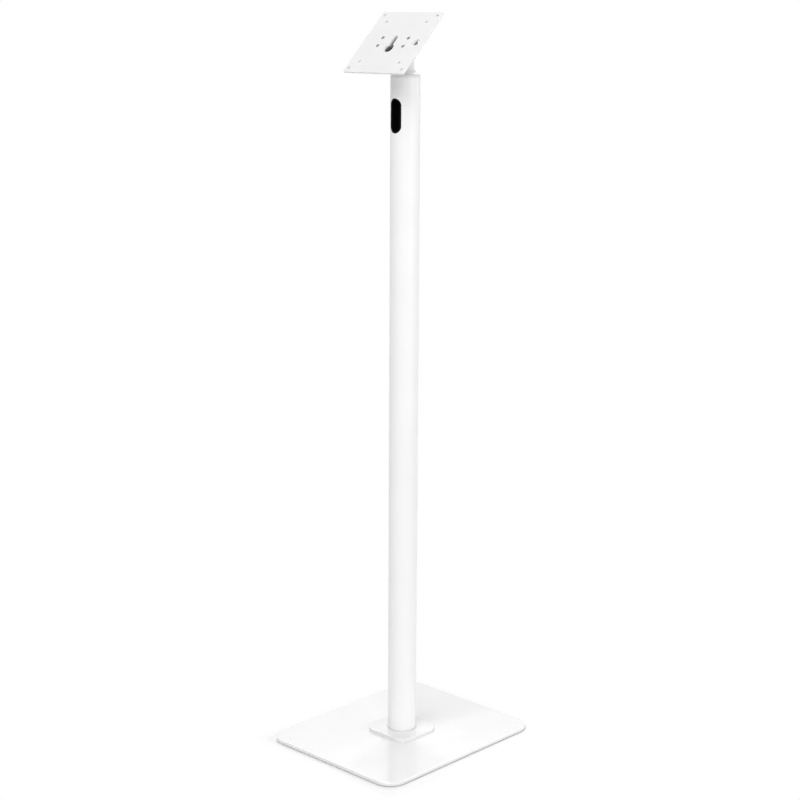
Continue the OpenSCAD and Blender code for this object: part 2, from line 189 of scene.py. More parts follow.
def freeze(piece):
    """Writes the object's place, turn and scale into its mesh."""
    take(piece)
    bpy.ops.object.transform_apply(location=True, rotation=True, scale=True)
    return piece


def moved(piece, matrix):
    """Puts a piece somewhere else and freezes it there."""
    piece.matrix_world = matrix @ piece.matrix_world
    return freeze(piece)


def slide(piece, wanted, step):
    """Pushes the wanted points of a piece along by a step."""
    pick_points(piece, wanted)
    bpy.ops.transform.translate(value=step)
    clear_selection()
    return piece


def merge_near(piece, within):
    """Merges points that lie closer together than a distance in millimetres."""
    take(piece)
    bpy.ops.object.mode_set(mode="EDIT")
    bpy.ops.mesh.select_all(action="SELECT")
    bpy.ops.mesh.remove_doubles(threshold=within * mm)
    clear_selection()
    return piece


def face_outwards(piece):
    """Turns every face so that it looks out of the closed shape."""
    take(piece)
    bpy.ops.object.mode_set(mode="EDIT")
    bpy.ops.mesh.select_all(action="SELECT")
    bpy.ops.mesh.normals_make_consistent(inside=False)
    clear_selection()
    return piece


def modify(piece, kind, **settings):
    """Adds one modifier, sets it and applies it."""
    take(piece)
    modifier = piece.modifiers.new(kind.lower(), kind)
    for key, value in settings.items():
        setattr(modifier, key, value)
    bpy.ops.object.modifier_apply(modifier=modifier.name)
    return piece


def cut(piece, cutter, operation="DIFFERENCE"):
    """Cuts a piece with another one, or joins them, and removes the cutter."""
    modify(piece, "BOOLEAN", operation=operation, object=cutter, solver="EXACT")
    bpy.data.objects.remove(cutter)
    return piece


def soften(piece, width, steps, sharper_than, merge=0.05):
    """Bevels every edge that is sharper than an angle in degrees."""
    merge_near(piece, merge)
    return modify(piece, "BEVEL", width=width * mm, segments=steps, limit_method="ANGLE",
                  angle_limit=math.radians(sharper_than), use_clamp_overlap=False)


def twin(piece, name):
    """Copies a piece together with its mesh."""
    take(piece)
    bpy.ops.object.duplicate()
    return named(name)


print("moves ready:", [move.__name__ for move in (freeze, moved, slide, modify, cut, soften, twin)])

# %% [markdown]
# ## Turning on a lathe
#
# Round pieces are turned: half of their outline is drawn beside the axis and spun once round it. A circle
# primitive gives as many points as the outline needs. They are set on the outline, and the spin operator
# does the rest. The doubles where the spin closes are merged, edges left over on the axis are deleted, and
# then the faces are pointed outwards.

# %% The lathe
MERGE, SLIVER = 1e-6, 1e-7


def turned(name, outline, steps=128):
    """Spins a closed outline of (radius, height) points, in millimetres, round the Z axis."""
    clear_selection()
    bpy.ops.mesh.primitive_circle_add(vertices=len(outline), radius=1)
    piece = named(name)
    for vertex, (radius, height) in zip(piece.data.vertices, outline):
        vertex.co = (radius * mm, 0, height * mm)
    bpy.ops.object.mode_set(mode="EDIT")
    bpy.ops.mesh.select_all(action="SELECT")
    bpy.ops.mesh.spin(steps=steps, angle=2 * math.pi, center=(0, 0, 0), axis=(0, 0, 1))
    bpy.ops.mesh.select_all(action="SELECT")
    bpy.ops.mesh.remove_doubles(threshold=MERGE)
    bpy.ops.mesh.dissolve_degenerate(threshold=SLIVER)
    bpy.ops.mesh.delete_loose()
    return face_outwards(piece)


def arc(centre, radius, start, end, steps):
    """Points on an arc, with angles in degrees from the outward direction."""
    angles = [math.radians(start + (end - start) * i / steps) for i in range(steps + 1)]
    return [(centre[0] + radius * math.cos(a), centre[1] + radius * math.sin(a)) for a in angles]


print("a quarter round of 2 mm runs through", len(arc((0, 0), 2, 0, 90, steps=6)), "points")

# %% [markdown]
# ## Rods and bars
#
# Most holes are drilled, and a drill is a plain rod: a cylinder primitive laid along one axis. A rod whose
# upper half is pushed up and whose lower half is pushed down becomes an oblong bar, which cuts long slots.
# A rod with six sides cuts the key recess of a screw.

# %% Rods and bars
LAID_ALONG = {"X": (0, math.pi / 2, 0), "Y": (math.pi / 2, 0, 0), "Z": (0, 0, 0)}


def rod(name, diameter, length, along="Z", sides=64, at=(0, 0, 0)):
    """Straight rod along one axis with its middle at a point, in millimetres."""
    clear_selection()
    bpy.ops.mesh.primitive_cylinder_add(
        vertices=sides, radius=diameter / 2 * mm, depth=length * mm, rotation=LAID_ALONG[along],
        location=[v * mm for v in at])
    return freeze(named(name))


def hexagon_rod(name, flats, length, height):
    """Six-sided rod along Z, measured across its flats, with its middle at a height."""
    return rod(name, flats / math.cos(math.pi / 6), length, sides=6, at=(0, 0, height))


def oblong_bar(name, width, height, length):
    """Bar along Y with half-round upper and lower ends."""
    bar = rod(name, width, length, "Y")
    straight = (height - width) / 2 * mm
    slide(bar, lambda point: point.z > NEAR, (0, 0, straight))
    return slide(bar, lambda point: point.z < -NEAR, (0, 0, -straight))


print("a rod can lie along", sorted(LAID_ALONG))

# %% [markdown]
# ## Handing a piece over
#
# A finished piece is smooth over its rounded edges and crisp at real corners. Weighted normals let the
# large flat faces stay flat beside a rounded edge, so no grey cloud creeps over them. Then the piece is
# told which body of the stand it moves with and which record slot its finish has, and the CAD node that it
# stands for is hidden.

# %% Hand over
TOUCHING, FLAT_FIRST = 0.005, 100


def hand_over(piece, body, slot, node, angle=32):
    """Shades a finished piece, gives it its body and its slot, and hides the CAD node it replaces."""
    freeze(merge_near(piece, TOUCHING))
    bpy.ops.object.shade_smooth_by_angle(angle=math.radians(angle))
    modify(piece, "WEIGHTED_NORMAL", keep_sharp=True, weight=FLAT_FIRST)
    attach(piece, body)
    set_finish(piece, slot)
    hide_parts(node)
    triangles = sum(len(face.vertices) - 2 for face in piece.data.polygons)
    print(f"{piece.name}: {triangles} triangles, {len(piece.data.polygons)} faces, rides on {body}")
    return piece


# %% [markdown]
# ## The base plate
#
# On the real stand this is laser-cut steel, five millimetres thick, with wide round corners and a soft top
# edge under the coat. A cube takes the CAD plate's size. Its four upright edges are bevelled into the
# corners first, and the top rim after that, because the second bevel then runs round one unbroken line of
# edges.

# %% Slabs with round corners
RIM_STEPS, LOWER_RIM_STEPS = 6, 3


def slab(name, low, high, corner, top_rim, lower_rim, corner_steps=20):
    """Plate between two points, with round corners and rounded rims in millimetres."""
    clear_selection()
    bpy.ops.mesh.primitive_cube_add(size=1, location=(low + high) / 2)
    piece = named(name)
    piece.scale = high - low
    freeze(piece)
    tall = (high.z - low.z) / 2
    pick_edges(piece, lambda a, b: abs(a.z - b.z) > tall)
    bpy.ops.mesh.bevel(offset=corner * mm, segments=corner_steps, affect="EDGES")
    for height, rim, steps in ((high.z, top_rim, RIM_STEPS), (low.z, lower_rim, LOWER_RIM_STEPS)):
        pick_edges(piece, lambda a, b: abs(a.z - height) < NEAR and abs(b.z - height) < NEAR)
        bpy.ops.mesh.bevel(offset=rim * mm, segments=steps, affect="EDGES")
    clear_selection()
    return piece


BASE_CORNER, BASE_RIM, BASE_LOWER_RIM = 28.0, 1.5, 0.5
base_low, base_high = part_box("base_plate")
base = slab("base_plate_coated", base_low, base_high, BASE_CORNER, BASE_RIM, BASE_LOWER_RIM)
print("base plate", tuple(round(v, 4) for v in base.dimensions), "m")

# %% [markdown]
# ## Countersinks under the base
#
# Four sunk holes in its underside take the screws that hold the flange. The cutter is a turned cone with a
# straight hole on top, used once for each screw. The screws' places are read from the CAD frame.

# %% Countersinks
HEAD_ROOM, HOLE_ROOM, CUT_BELOW, SUNK_DEPTH = 0.05, 0.25, 1.0, 8.0
FLANGE_SCREW = 6.0
CORNERS = [(x, y) for x in (-1, 1) for y in (-1, 1)]


def sunk_cutter(thread):
    """Cutter for a sunk screw that points up from its face at height 0."""
    wide = thread + HEAD_ROOM
    hole = thread / 2 + HOLE_ROOM
    return turned("sunk_cutter", [
        (0, -CUT_BELOW), (wide, -CUT_BELOW), (wide, 0),
        (hole, wide - hole), (hole, SUNK_DEPTH), (0, SUNK_DEPTH)], steps=48)


screw_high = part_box("flange_screws")[1]
screw_at = screw_high.x - FLANGE_SCREW * mm
for x, y in CORNERS:
    under_screw = Matrix.Translation((x * screw_at, y * screw_at, base_low.z))
    cut(base, moved(sunk_cutter(FLANGE_SCREW), under_screw))
hand_over(base, "stand", "white_coat", "base_plate")

# %% [markdown]
# ## The feet
#
# Thin rubber pads lift the plate off the floor, which is why a dark line runs under the base. One pad is
# turned, with a rounded lower edge and two shallow grip rings in its sole, and copied to the four corners.

# %% Feet
foot_low, foot_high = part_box("foot_front_left")
FOOT_R, FOOT_H = (foot_high.x - foot_low.x) / 2 / mm, foot_high.z / mm
FOOT_EDGE, GRIP_RINGS, GRIP_DEPTH, GRIP_W, GRIP_SLOPE = 0.5, (4.0, 7.0), 0.3, 1.2, 0.3
foot_outline = [(0, FOOT_H), (0, 0)]
for ring in GRIP_RINGS:
    foot_outline += [(ring, 0), (ring + GRIP_SLOPE, GRIP_DEPTH)]
    foot_outline += [(ring + GRIP_W - GRIP_SLOPE, GRIP_DEPTH), (ring + GRIP_W, 0)]
foot_outline += arc((FOOT_R - FOOT_EDGE, FOOT_EDGE), FOOT_EDGE, -90, 0, steps=5) + [(FOOT_R, FOOT_H)]
pad = turned("pad", foot_outline, steps=72)
for place in ("front_left", "front_right", "rear_left", "rear_right"):
    low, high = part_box(f"foot_{place}")
    middle = (low + high) / 2
    foot = moved(twin(pad, f"pad_{place}"), Matrix.Translation((middle.x, middle.y, 0)))
    hand_over(foot, "stand", "black_rubber", f"foot_{place}")
bpy.data.objects.remove(pad)

# %% [markdown]
# ## The flange
#
# A smaller square plate of the same making stands on the base and carries the post in a shallow round seat.
# The seat and the four screw holes are drilled from the CAD frame's sizes, so that post and screws fit.

# %% Flange
POST_R, BORE_R, FIT = 21.0, 19.0, 0.05
FLANGE_CORNER, FLANGE_RIM, FLANGE_LOWER_RIM = 20.0, 1.2, 0.4
THREAD_ROOM = 0.4
flange_low, flange_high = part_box("post_flange")
tube_low, tube_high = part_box("post_tube")
flange = slab("post_flange_coated", flange_low, flange_high, FLANGE_CORNER, FLANGE_RIM, FLANGE_LOWER_RIM)
seat_depth = 2 * (flange_high.z - tube_low.z) / mm
cut(flange, rod("seat_cutter", 2 * (POST_R + FIT), seat_depth, sides=128, at=(0, 0, flange_high.z / mm)))
hole_depth = 2 * ((screw_high.z - flange_low.z) / mm + THREAD_ROOM)
for x, y in CORNERS:
    place = (x * screw_at / mm, y * screw_at / mm, flange_low.z / mm)
    cut(flange, rod("thread_cutter", FLANGE_SCREW + 2 * FIT, hole_depth, sides=40, at=place))
hand_over(flange, "stand", "white_coat", "post_flange")

# %% [markdown]
# ## The weld
#
# Post and flange are joined by a fine weld. It is coated over, so it reads as a narrow hollow fillet. A
# welder moves on in small steps, and each step leaves a low wave, so the turned ring is pulled in a little
# in waves. A slow wave makes them stronger and weaker round the post, as a hand does.

# %% Weld
WELD_LEG, WELD_WAVES, WELD_WAVE = 0.6, 44, 0.1
SLOW_WAVES, SLOW_START = 3, 1
weld_r, weld_z = POST_R + FIT, flange_high.z / mm
weld_outline = [(weld_r, weld_z)]
weld_outline += arc((weld_r + WELD_LEG, weld_z + WELD_LEG), WELD_LEG, 270, 180, steps=8)
weld = turned("foot_weld_coated", weld_outline, steps=240)
for vertex in weld.data.vertices:
    around = math.atan2(vertex.co.y, vertex.co.x)
    reach = vertex.co.xy.length / mm - weld_r
    slow = math.sin(SLOW_WAVES * around + SLOW_START)
    wave = WELD_WAVE * reach * math.sin(WELD_WAVES * around) * slow
    vertex.co.xy = vertex.co.xy.normalized() * (vertex.co.xy.length - abs(wave) * mm)
hand_over(weld, "stand", "white_coat", "foot_weld", angle=60)

# %% [markdown]
# ## The post
#
# One length of round tube. It is turned as a thick ring, so the bore is really there, and each end has a
# small break on its edges. The oblong bar cuts the two cable slots: one near the top of the front, one low
# at the back. A small hole at the back of the top takes the stop screw of the swivel.

# %% Post with its slots
TUBE_BREAK, SLOT_W, SLOT_H, LINING_LIP = 0.4, 20.0, 48.0, 1.5
CUT_W, CUT_H, BAR_LENGTH, BAR_AT = SLOT_W - 2 * LINING_LIP, SLOT_H - 2 * LINING_LIP, 30.0, 20.0
STOP_HOLE, STOP_CUT = 6.1, 12.0
bottom, top = tube_low.z / mm, tube_high.z / mm
post = turned("post_tube_coated", [
    (BORE_R, bottom + TUBE_BREAK), (BORE_R + TUBE_BREAK, bottom),
    (POST_R - TUBE_BREAK, bottom), (POST_R, bottom + TUBE_BREAK),
    (POST_R, top - TUBE_BREAK), (POST_R - TUBE_BREAK, top),
    (BORE_R + TUBE_BREAK, top), (BORE_R, top - TUBE_BREAK)], steps=160)
slot_z = {}
for node, facing in (("front_grommet", -1), ("rear_grommet", 1)):
    low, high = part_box(node)
    slot_z[node] = (low.z + high.z) / 2
    bar = oblong_bar("slot_cutter", CUT_W, CUT_H, BAR_LENGTH)
    cut(post, moved(bar, Matrix.Translation((0, facing * BAR_AT * mm, slot_z[node]))))
stop_low, stop_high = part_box("stop_screw")
stop_z = (stop_low.z + stop_high.z) / 2 / mm
cut(post, rod("stop_cutter", STOP_HOLE, STOP_CUT, "Y", sides=48, at=(0, POST_R, stop_z)))
hand_over(post, "stand", "white_coat", "post_tube")

# %% [markdown]
# ## The slot linings
#
# A black rubber lining edges each slot. It starts as a turned ring whose outline has a rounded lip, a wall
# through the tube and a lip inside. The ring is pulled long like the cutter, and then laid on the tube: a
# point keeps its width and height, and its depth becomes its distance from the post's axis. The second
# lining is a copy, turned round to the back and moved down.

# %% Linings
LIP_T, WALL = 0.5, POST_R - BORE_R
LIP_SLOPE = ((0.8, 0.4), (0.3, 0.25))
open_r, cut_r, lip_r = CUT_W / 2 - LIP_T, CUT_W / 2 - FIT, SLOT_W / 2
lining_outline = [(open_r, -WALL - LIP_T), (open_r, 0)]
lining_outline += arc((open_r + LIP_T, 0), LIP_T, 180, 90, steps=4)
lining_outline += [(lip_r - inwards, thick) for inwards, thick in LIP_SLOPE]
lining_outline += [(lip_r, FIT), (cut_r, FIT)]
lining_outline += [(cut_r, -WALL - FIT), (lip_r, -WALL - FIT), (lip_r, -WALL - LIP_T)]
straight = (SLOT_H - SLOT_W) / 2 * mm
front_lining = turned("front_lining", lining_outline, steps=96)
slide(front_lining, lambda point: point.y > NEAR, (0, straight, 0))
slide(front_lining, lambda point: point.y < -NEAR, (0, -straight, 0))
for vertex in front_lining.data.vertices:
    across, up, depth = vertex.co
    reach = POST_R * mm + depth
    vertex.co = (across, -math.sqrt(reach * reach - across * across), slot_z["front_grommet"] + up)
face_outwards(front_lining)
rear_lining = twin(front_lining, "rear_lining")
down = slot_z["rear_grommet"] - slot_z["front_grommet"]
moved(rear_lining, Matrix.Translation((0, 0, down)) @ Matrix.Rotation(math.pi, 4, "Z"))
hand_over(front_lining, "stand", "black_rubber", "front_grommet", angle=50)
hand_over(rear_lining, "stand", "black_rubber", "rear_grommet", angle=50)

# %% [markdown]
# ## The neck
#
# The neck is cast and turned: a spigot that runs down into the post, a round shoulder as wide as the post,
# a hollow flare and a slim stem. All of that is one outline on the lathe. Two grooves in the spigot take
# the rubber drag ring and the end of the stop screw.

# %% Neck on the lathe
NECK_R, SHOULDER_R, SLOPE, SPIGOT_R, SPIGOT_BREAK = 11.7, 4.0, 65.0, 15.9, 0.8
STOP_GROOVE_H, STOP_GROOVE_DEPTH, RING_GROOVE_DEPTH = 4.8, 3.0, 1.95
KNUCKLE_R, KNUCKLE_W, HINGE = 10.0, 24.0, Vector((0, -8 * mm, 1002 * mm))
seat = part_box("swivel_bush")[1].z / mm + FIT
spigot_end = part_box("neck")[0].z / mm
ring_low, ring_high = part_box("drag_ring")
lean = math.radians(SLOPE)
meet = POST_R - SHOULDER_R + SHOULDER_R * math.cos(lean)
flare = (meet - NECK_R) / (1 - math.cos(lean))
flare_z = seat + (SHOULDER_R + flare) * math.sin(lean)
grooves = [(stop_z - STOP_GROOVE_H / 2, stop_z + STOP_GROOVE_H / 2, STOP_GROOVE_DEPTH),
           (ring_low.z / mm - FIT, ring_high.z / mm + FIT, RING_GROOVE_DEPTH)]
stem_top = HINGE.z / mm + KNUCKLE_R / 2
neck_outline = [(0, spigot_end), (SPIGOT_R - SPIGOT_BREAK, spigot_end)]
neck_outline += [(SPIGOT_R, spigot_end + SPIGOT_BREAK)]
for low, high, depth in grooves:
    neck_outline += [(SPIGOT_R, low), (SPIGOT_R - depth, low), (SPIGOT_R - depth, high), (SPIGOT_R, high)]
neck_outline += [(SPIGOT_R, seat)] + arc((POST_R - SHOULDER_R, seat), SHOULDER_R, 0, SLOPE, steps=14)
neck_outline += arc((NECK_R + flare, flare_z), flare, 180 + SLOPE, 180, steps=20)[1:]
neck_outline += [(NECK_R, stem_top), (0, stem_top)]
neck = turned("neck_coated", neck_outline)
print("the neck's flare has a radius of", round(flare, 2), "mm")

# %% [markdown]
# ## The neck's knuckle
#
# Across the stem's top lies the knuckle of the tilt hinge. The stem is first cut off on a slope behind the
# plate, with a turned cube. Then a rod is joined on as the knuckle and a thinner one drills the bolt's
# hole. Casting leaves no sharp corner, so a bevel softens the joint lines and rims.

# %% Neck with its knuckle
LEAN = math.radians(45)
SLOPE_BLOCK, SLOPE_UNDER = 80.0, 1.0
BOLT_HOLE, BOLT_CUT = 8.1, 60.0
NECK_SOFT, NECK_SHARP, NECK_MERGE = 0.12, 40, 0.1
at_hinge = Matrix.Translation(HINGE)
in_head = at_hinge @ Matrix.Rotation(-LEAN, 4, "X")
clear_selection()
bpy.ops.mesh.primitive_cube_add(
    size=SLOPE_BLOCK * mm, location=(0, 0, (SLOPE_BLOCK / 2 + KNUCKLE_R - SLOPE_UNDER) * mm))
cut(neck, moved(freeze(named("slope_cutter")), in_head))
cut(neck, moved(rod("knuckle", 2 * KNUCKLE_R, KNUCKLE_W, "X", sides=96), at_hinge), "UNION")
cut(neck, moved(rod("bolt_cutter", BOLT_HOLE, BOLT_CUT, "X"), at_hinge))
soften(neck, NECK_SOFT, steps=2, sharper_than=NECK_SHARP, merge=NECK_MERGE)
hand_over(neck, "neck", "white_coat", "neck")

# %% [markdown]
# ## The head plate
#
# The plate is modelled upright in its own frame, where the tilt axis is the origin and the plate faces -Y,
# and leaned back at the end. It is a slab with small corners and softened rims, stood up on its edge.

# %% Plate blank
PLATE, PLATE_T, PLATE_REACH, PLATE_CORNER, PLATE_RIM = 115.0, 3.0, 24.6, 4.0, 1.0
plate_back, plate_middle = PLATE_REACH - PLATE_T, PLATE_REACH - PLATE_T / 2
half = PLATE / 2 * mm
plate = slab("head_plate_coated", Vector((-half, -half, 0)), Vector((half, half, PLATE_T * mm)),
             PLATE_CORNER, PLATE_RIM, PLATE_RIM, corner_steps=10)
stood_up = Matrix.Rotation(math.radians(90), 4, "X")
moved(plate, Matrix.Translation((0, -plate_back * mm, 0)) @ stood_up)
print("plate blank", tuple(round(v, 4) for v in plate.dimensions), "m")

# %% [markdown]
# ## The plate's holes
#
# Two squares of display holes, 100 and 75 millimetres wide, one round hole, four countersinks and a keyhole
# are cut through it. The keyhole is a round hole with an oblong slot above it. A narrow bevel goes over
# every rim, because a coat always rounds edges.

# %% Plate holes
DISPLAY_SQUARES, DISPLAY_HOLE, DRILL_LENGTH = (100.0, 75.0), 4.5, 20.0
SIDE_HOLE, SIDE_HOLE_X = 11.0, 44.0
PLATE_SCREW, SCREW_X, SCREW_Z = 3.0, 24.0, 7.5
KEY_ROUND, KEY_SLOT_W, KEY_DROP, KEY_RISE = 15.0, 6.5, 11.5, 11.5
HOLE_SOFT, HOLE_SHARP = 0.2, 50
screw_places = [(x * SCREW_X, z * SCREW_Z) for x, z in CORNERS]


def drill(diameter, x, z, sides=40):
    """Cutter for a straight hole through the upright plate."""
    return rod("drill", diameter, DRILL_LENGTH, "Y", sides, (x, -plate_middle, z))


def into_plate(x, z):
    """Place on the upright plate's face, with +Z pointing into the plate."""
    return Matrix.Translation((x * mm, -PLATE_REACH * mm, z * mm)) @ Matrix.Rotation(-math.pi / 2, 4, "X")


for square in DISPLAY_SQUARES:
    for x, z in CORNERS:
        cut(plate, drill(DISPLAY_HOLE, x * square / 2, z * square / 2))
cut(plate, drill(SIDE_HOLE, SIDE_HOLE_X, 0, sides=64))
for x, z in screw_places:
    cut(plate, moved(sunk_cutter(PLATE_SCREW), into_plate(x, z)))
cut(plate, drill(KEY_ROUND, 0, -KEY_DROP, sides=64))
key_h = KEY_RISE + KEY_DROP + KEY_SLOT_W / 2
key_bar = oblong_bar("key_slot_cutter", KEY_SLOT_W, key_h, DRILL_LENGTH)
cut(plate, moved(key_bar, Matrix.Translation((0, -plate_middle * mm, (KEY_RISE - key_h / 2) * mm))))
soften(plate, HOLE_SOFT, steps=2, sharper_than=HOLE_SHARP)
hand_over(moved(plate, in_head), "head", "white_coat", "head_plate")

# %% [markdown]
# ## Screws of the plate
#
# Four small dark screws beside the keyhole. One is turned with a flat sunk head and ridges of thread, and
# its hexagon socket is cut. It is then copied to the four places and the copies are joined, as in the CAD
# model.

# %% Plate screws
HEAD_TOP_R, HEAD_SUNK, HEAD_R, HEAD_RIM, HEAD_END = 2.7, 0.05, 2.95, 0.2, 1.6
SCREW_R, SCREW_ROOT, SCREW_PITCH, SCREW_RIDGES, THREAD_FROM = 1.5, 1.28, 0.5, 9, 1.9
SCREW_END, SCREW_TIP_R, SCREW_TIP_BREAK = 6.5, 1.0, 0.3
SCREW_KEY, SCREW_KEY_LENGTH = 2.0, 2.0
screw_outline = [(0, HEAD_SUNK), (HEAD_TOP_R, HEAD_SUNK), (HEAD_R, HEAD_RIM), (SCREW_R, HEAD_END)]
for ridge in range(SCREW_RIDGES):
    ridge_z = THREAD_FROM + ridge * SCREW_PITCH
    screw_outline += [(SCREW_R, ridge_z), (SCREW_ROOT, ridge_z + SCREW_PITCH / 2)]
screw_outline += [(SCREW_TIP_R + SCREW_TIP_BREAK, SCREW_END - SCREW_TIP_BREAK)]
screw_outline += [(SCREW_TIP_R, SCREW_END), (0, SCREW_END)]
screw = turned("plate_screw", screw_outline, steps=40)
cut(screw, hexagon_rod("key_cutter", SCREW_KEY, SCREW_KEY_LENGTH, 0))
screws = [moved(twin(screw, "plate_screw"), in_head @ into_plate(x, z)) for x, z in screw_places]
bpy.data.objects.remove(screw)
take(screws[0])
for one in screws:
    one.select_set(True)
bpy.ops.object.join()
plate_screws = named("plate_screws_dark")
hand_over(plate_screws, "head", "black_steel", "plate_screws")

# %% [markdown]
# ## The brackets
#
# Behind the plate two bent steel brackets carry the tilt bolt. Seen from above each one is an L with a
# rounded bend. That outline is filled and extruded to the bracket's height, and the ear is joined on. It
# has a round end about the tilt bolt and a tall upper corner, which shades the hinge, so the keyhole in the
# plate looks dark. Last, the holes are drilled and the sheet's edges are softened.

# %% Bracket
EAR_IN, SHEET, BEND_R, FOOT_END, FOOT_LOW = 13.1, 3.0, 2.0, 36.0, -13.0
EAR_R, EAR_TOP, EAR_TOP_R, EAR_OVERLAP = 10.0, 25.0, 4.0, 0.01
BRACKET_SCREW_HOLE, SHEET_SOFT, SHEET_SHARP = 3.1, 0.35, 50


def filled_outline(name, points, along, depth):
    """Fills an outline and extrudes it along X or Z, both ways from the middle."""
    clear_selection()
    bpy.ops.mesh.primitive_circle_add(vertices=len(points), radius=1, fill_type="NGON")
    piece = named(name)
    start = -depth / 2 * mm
    for vertex, (a, b) in zip(piece.data.vertices, points):
        vertex.co = (a * mm, b * mm, start) if along == "Z" else (start, a * mm, b * mm)
    step = (0, 0, depth * mm) if along == "Z" else (depth * mm, 0, 0)
    bpy.ops.object.mode_set(mode="EDIT")
    bpy.ops.mesh.select_all(action="SELECT")
    bpy.ops.mesh.extrude_region_move(TRANSFORM_OT_translate={"value": step})
    return face_outwards(piece)


def bracket(name):
    """Right-hand bracket in the plate's own frame."""
    outer_r = BEND_R + SHEET
    bend = (EAR_IN + outer_r, outer_r - plate_back)
    sheet_outline = arc(bend, outer_r, 180, 270, steps=12)
    sheet_outline += [(FOOT_END, -plate_back), (FOOT_END, SHEET - plate_back)]
    sheet_outline += arc(bend, BEND_R, 270, 180, steps=12)
    foot = filled_outline(name, sheet_outline, "Z", EAR_TOP - FOOT_LOW)
    moved(foot, Matrix.Translation((0, 0, (EAR_TOP + FOOT_LOW) / 2 * mm)))
    root = bend[1] - EAR_OVERLAP
    corner = Vector((-EAR_TOP_R, EAR_TOP - EAR_TOP_R))
    towards = math.atan2(corner.y, corner.x)
    swing = math.degrees(towards - math.acos((EAR_R - EAR_TOP_R) / corner.length))
    ear_outline = [(root, -EAR_R)] + arc((0, 0), EAR_R, -90, swing, steps=20)
    ear_outline += arc(corner, EAR_TOP_R, swing, 90, steps=8) + [(root, EAR_TOP)]
    ear = filled_outline("ear", ear_outline, "X", SHEET)
    cut(foot, moved(ear, Matrix.Translation(((EAR_IN + SHEET / 2) * mm, 0, 0))), "UNION")
    cut(foot, rod("bolt_cutter", BOLT_HOLE, DRILL_LENGTH, "X", at=(EAR_IN, 0, 0)))
    for x, z in screw_places:
        if x > 0:
            cut(foot, drill(BRACKET_SCREW_HOLE, x, z, sides=32))
    return soften(foot, SHEET_SOFT, steps=2, sharper_than=SHEET_SHARP)


bracket_right = bracket("bracket_right_dark")
print("bracket", tuple(round(v, 4) for v in bracket_right.dimensions), "m")

# %% [markdown]
# ## Left and right bracket
#
# The left bracket is the mirror image of the right one: a copy is scaled by -1 across the stand. That turns
# its faces inside out, so they are pointed outwards again. Then both are leaned back with the plate.

# %% Both brackets
bracket_left = twin(bracket_right, "bracket_left_dark")
bracket_left.scale.x = -1
face_outwards(freeze(bracket_left))
hand_over(moved(bracket_right, in_head), "head", "black_steel", "bracket_right")
hand_over(moved(bracket_left, in_head), "head", "black_steel", "bracket_left")

# %% [markdown]
# ## The tilt bolt
#
# One bolt clamps ears, friction washers and disc springs together. It is turned along the Z axis, with a
# rounded head and ridges of thread at the far end, gets its hexagon socket, and is then laid through the
# hinge.

# %% Tilt bolt
BOLT_R, BOLT_HEAD_R, BOLT_HEAD_ROUND, BOLT_HEAD_BREAK = 4.0, 6.5, 0.8, 0.3
BOLT_TIP_R, BOLT_TIP_BREAK, BOLT_KEY, BOLT_KEY_LENGTH = 3.2, 0.3, 5.0, 5.4
BOLT_ROOT, BOLT_CREST, BOLT_PITCH, BOLT_RIDGES, RIDGE_W = 3.4, 3.95, 1.25, 10, 1.1875
RIDGES_FROM, SHANK_FROM = 0.5, 0.8
on_right = in_head @ Matrix.Rotation(math.pi / 2, 4, "Y")
on_left = in_head @ Matrix.Rotation(-math.pi / 2, 4, "Y")
bolt_low, bolt_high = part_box("pivot_bolt")
head_from, head_to, bolt_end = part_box("bolt_washer")[1].x / mm, bolt_high.x / mm, bolt_low.x / mm
bolt_outline = [(0, bolt_end), (BOLT_TIP_R, bolt_end)]
bolt_outline += [(BOLT_TIP_R + BOLT_TIP_BREAK, bolt_end + BOLT_TIP_BREAK)]
for ridge in range(BOLT_RIDGES):
    ridge_z = bolt_end + RIDGES_FROM + ridge * BOLT_PITCH
    bolt_outline += [(BOLT_ROOT, ridge_z), (BOLT_CREST, ridge_z + BOLT_PITCH / 2)]
    bolt_outline += [(BOLT_ROOT, ridge_z + RIDGE_W)]
bolt_outline += [(BOLT_R, bolt_end + SHANK_FROM + BOLT_RIDGES * BOLT_PITCH), (BOLT_R, head_from)]
bolt_outline += [(BOLT_HEAD_R - BOLT_HEAD_BREAK, head_from), (BOLT_HEAD_R, head_from + BOLT_HEAD_BREAK)]
head_round = (BOLT_HEAD_R - BOLT_HEAD_ROUND, head_to - BOLT_HEAD_ROUND)
bolt_outline += arc(head_round, BOLT_HEAD_ROUND, 0, 90, steps=6) + [(0, head_to)]
bolt = turned("pivot_bolt_zinc", bolt_outline, steps=72)
cut(bolt, hexagon_rod("key_cutter", BOLT_KEY, BOLT_KEY_LENGTH, head_to))
hand_over(moved(bolt, on_right), "head", "zinc_steel", "pivot_bolt", angle=40)

# %% [markdown]
# ## The lock nut
#
# The nut starts as a six-sided rod that is cut down by a turned cone, which gives the curved chamfers of a
# real nut. A round collar with the locking ring is joined on top, and the bore is drilled through both.

